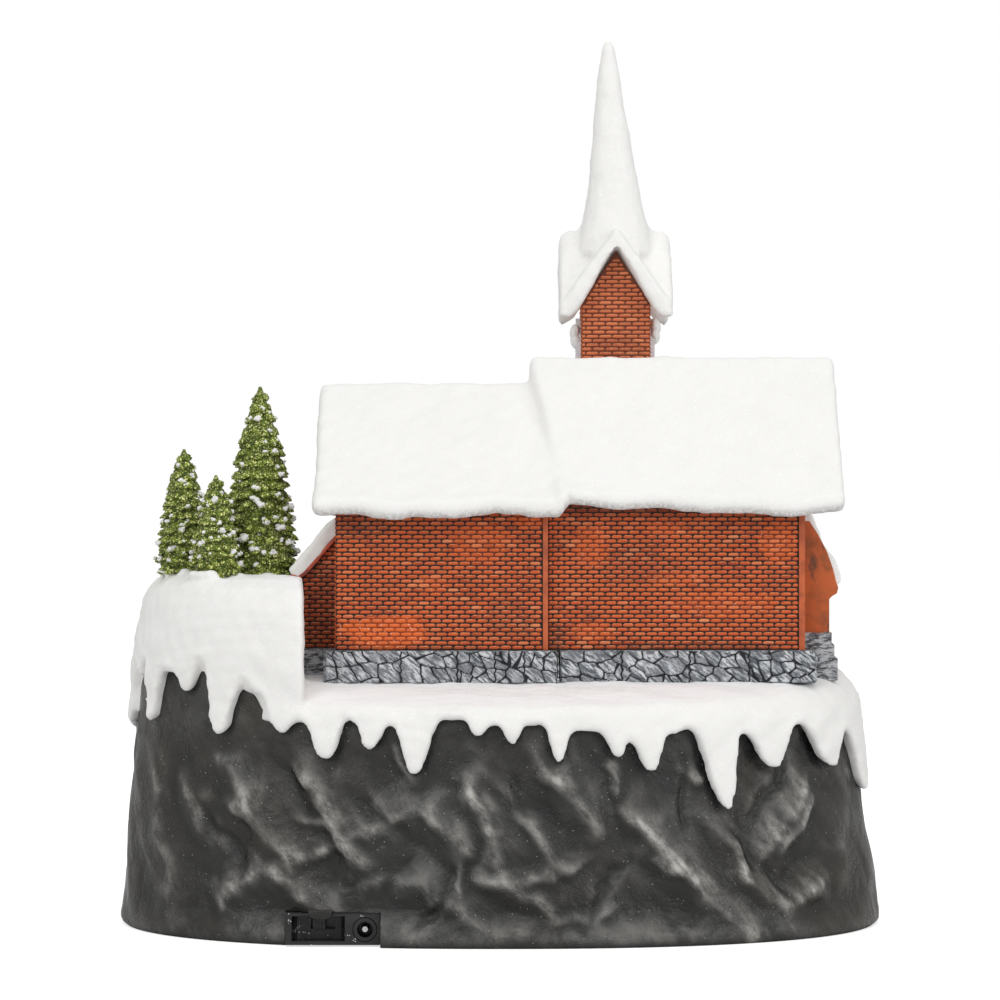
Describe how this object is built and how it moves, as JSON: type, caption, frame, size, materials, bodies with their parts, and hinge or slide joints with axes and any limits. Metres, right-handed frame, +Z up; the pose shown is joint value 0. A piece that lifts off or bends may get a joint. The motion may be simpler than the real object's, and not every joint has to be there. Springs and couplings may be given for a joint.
{
  "type": "christmas church ornament",
  "caption": "Lighted snow-covered brick church with a steeple on a rock foot, with fir trees, a slide switch, a barrel jack and a battery box under the foot.",
  "frame": {"origin": "centre of the bounding box at the underside of the rock foot, on the surface it stands on", "axes": "+Z up; +Y towards the entrance front, so the rear with the power unit faces -Y; +X towards the nave's outer end, away from the trees"},
  "size_m": [0.284, 0.19, 0.332],
  "materials": {
    "rock": "painted resin, dark and dry-brushed",
    "snow": "painted resin with fine glitter",
    "brick": "painted resin with dark mortar",
    "stone": "painted resin, dry-brushed",
    "fir": "painted resin with glitter",
    "trim": "painted resin",
    "door": "painted resin",
    "pane": "translucent",
    "black": "satin black",
    "steel": "nickel-plated",
    "board": "solder mask",
    "lamp": "clear resin",
    "lead": "insulated wire"
  },
  "bodies": {
    "church": {"rock_skirt": "rock", "snow_cap": "snow", "chapel_rear_wall": "brick", "chapel_front_wall": "brick", "chapel_gable": "brick", "nave_rear_wall": "brick", "nave_front_wall_left": "brick", "nave_front_wall_right": "brick", "nave_gable_left": "brick", "nave_gable_right": "brick", "chapel_course_rear": "stone", "chapel_course_front": "stone", "nave_course_rear": "stone", "nave_course_front": "stone", "annex_left": "brick", "annex_right": "brick", "annex_left_roof": "snow", "annex_right_roof": "snow", "chapel_roof_rear": "snow", "chapel_roof_front": "snow", "nave_roof_rear": "snow", "nave_roof_front": "snow", "tower_shaft": "brick", "entrance_door": "door", "entrance_steps": "stone", "louvre_left": "trim", "louvre_right": "trim", "louvre_front": "trim", "steeple": "snow", "chapel_window_1": "trim", "chapel_window_2": "trim", "chapel_window_3": "trim", "nave_window_1": "trim", "nave_window_2": "trim", "chapel_pane": "pane", "nave_pane": "pane", "tree_tall": "fir", "tree_small": "fir", "tree_left": "fir", "power_housing": "black", "switch_body": "steel", "dc_jack": "black", "jack_pin": "steel", "base_plate": "black", "base_screw_1": "steel", "base_screw_2": "steel", "base_screw_3": "steel", "base_screw_4": "steel", "battery_box": "black", "battery_terminal_spring": "steel", "battery_link_1": "steel", "battery_link_2": "steel", "battery_terminal_button": "steel", "led_board": "board", "led_1": "lamp", "led_2": "lamp", "led_lead": "lead", "power_lead": "lead"},
    "switch_knob": {"switch_knob": "black"},
    "battery_door": {"battery_door": "black"}
  },
  "joints": [
    {"name": "switch_slide", "type": "slide", "parent": "church", "child": "switch_knob", "axis": [1, 0, 0], "range_m": [0, 0.0025]},
    {"name": "battery_door_hinge", "type": "hinge", "parent": "church", "child": "battery_door", "pos_m": [0.0403, 0, 0.0018], "axis": [0, -1, 0], "range_deg": [0, 80]}
  ]
}
